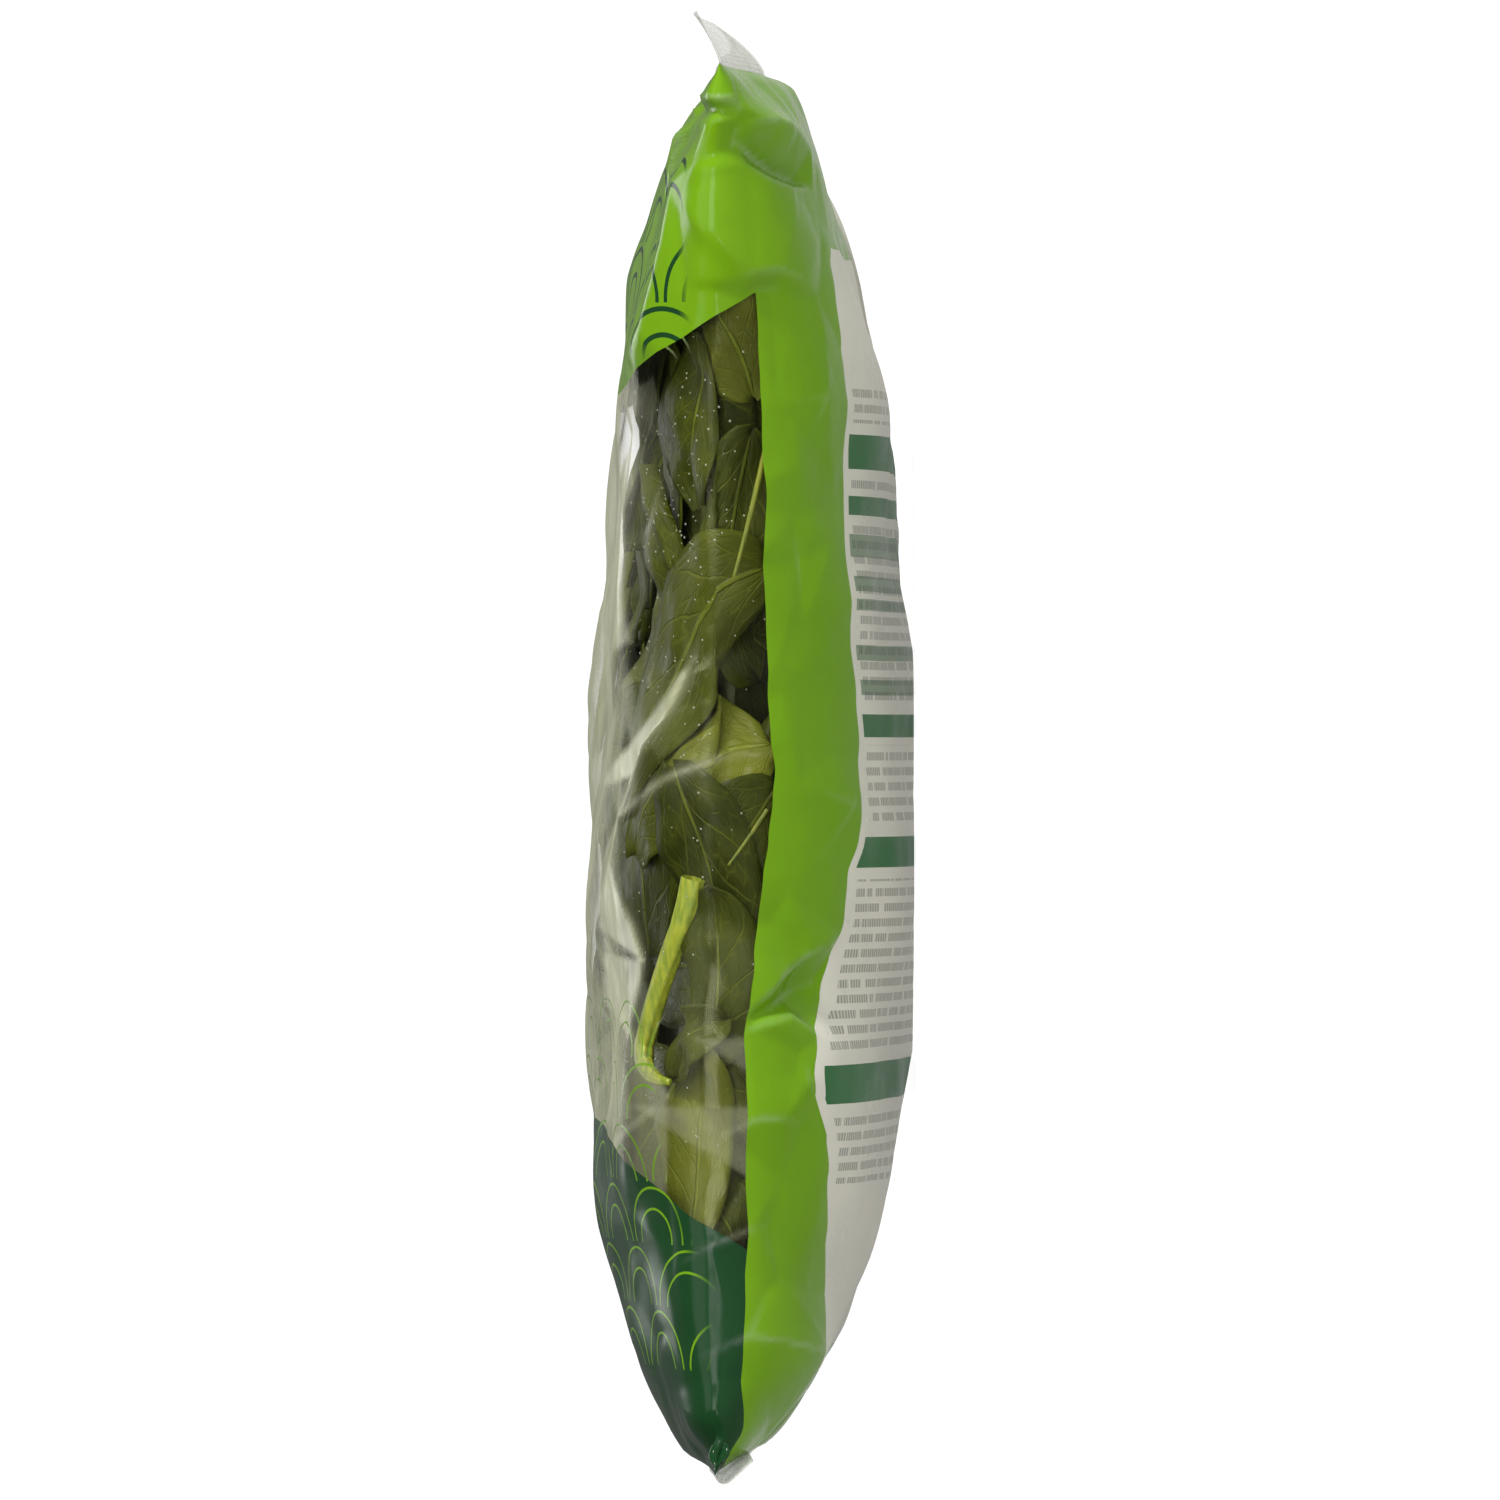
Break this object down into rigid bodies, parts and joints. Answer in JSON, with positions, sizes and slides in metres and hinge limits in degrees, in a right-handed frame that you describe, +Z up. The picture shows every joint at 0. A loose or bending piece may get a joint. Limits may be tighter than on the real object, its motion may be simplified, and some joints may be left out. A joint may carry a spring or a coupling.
{
  "type": "bag of spinach",
  "caption": "Sealed pillow bag of fresh spinach leaves, lying on its back with its clear window up, crimped shut at both ends.",
  "frame": {"origin": "middle of the resting face, on the surface the bag lies on, under the centre of the bag's box", "axes": "+Y along the bag to its top end, +Z up out of its clear front, +X across it to the side shown in the picture"},
  "size_m": [0.26, 0.3549, 0.0825],
  "materials": {
    "printed_film": "thin glossy film, printed lime green, dark green and white, creased",
    "clear_film": "thin clear film, slightly hazy, creased",
    "leaf": "fresh leaf, satin, with paler veins",
    "stalk": "fresh ribbed stalk, satin"
  },
  "bodies": {
    "root": {"bag": "printed_film"}
  },
  "joints": []
}
